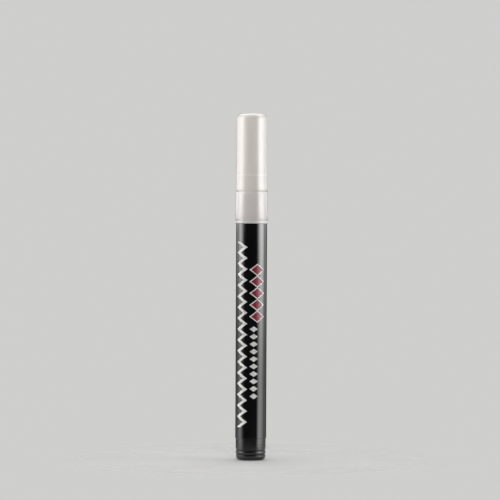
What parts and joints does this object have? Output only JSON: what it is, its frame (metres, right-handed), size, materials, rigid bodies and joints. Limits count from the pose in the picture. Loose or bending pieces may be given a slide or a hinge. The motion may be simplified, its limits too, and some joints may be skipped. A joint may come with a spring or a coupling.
{
  "type": "liquid chalk marker",
  "caption": "Round capped liquid chalk marker: tube barrel, grooved rear plug, push-on cap with liner, bullet nib, sprung pump valve and a loose mixing ball.",
  "frame": {"origin": "centre of the rear plug's end face, on which the marker stands", "axes": "+Z along the barrel from the rear end to the cap's top, -Y towards the printed front, +X to the right seen from the front"},
  "size_m": [0.0131, 0.013, 0.14],
  "materials": {
    "barrel_black": "gloss black extruded plastic",
    "plug_black": "semi-gloss black moulded plastic",
    "section_white": "white moulded plastic",
    "nib_fibre": "bonded white fibre",
    "seat_rubber": "soft dark seal",
    "valve_natural": "natural moulded plastic",
    "spring_steel": "drawn stainless wire",
    "ball_steel": "polished steel",
    "cap_white": "gloss white moulded plastic",
    "liner_natural": "natural moulded plastic",
    "print_white": "white screen ink",
    "print_red": "deep red screen ink"
  },
  "bodies": {
    "marker_body": {"barrel": "barrel_black", "rear_plug": "plug_black", "front_section": "section_white", "valve_seat": "seat_rubber", "valve_cage": "valve_natural", "valve_spring": "spring_steel"},
    "cap": {"cap_shell": "cap_white", "cap_liner": "liner_natural"},
    "nib_and_stem": {"nib": "nib_fibre", "valve_stem": "valve_natural"},
    "ball": {"mixing_ball": "ball_steel"}
  },
  "joints": [
    {"name": "cap_pull", "type": "slide", "parent": "marker_body", "child": "cap", "axis": [0, 0, 1], "range_m": [0, 0.042]},
    {"name": "nib_pump", "type": "slide", "parent": "marker_body", "child": "nib_and_stem", "axis": [0, 0, -1], "range_m": [0, 0.002], "stiffness_N_per_m": 630, "springref_m": -0.003, "deforming": ["valve_spring"]},
    {"name": "ball_rattle", "type": "slide", "parent": "marker_body", "child": "ball", "axis": [0, 0, 1], "range_m": [0, 0.0714]}
  ]
}
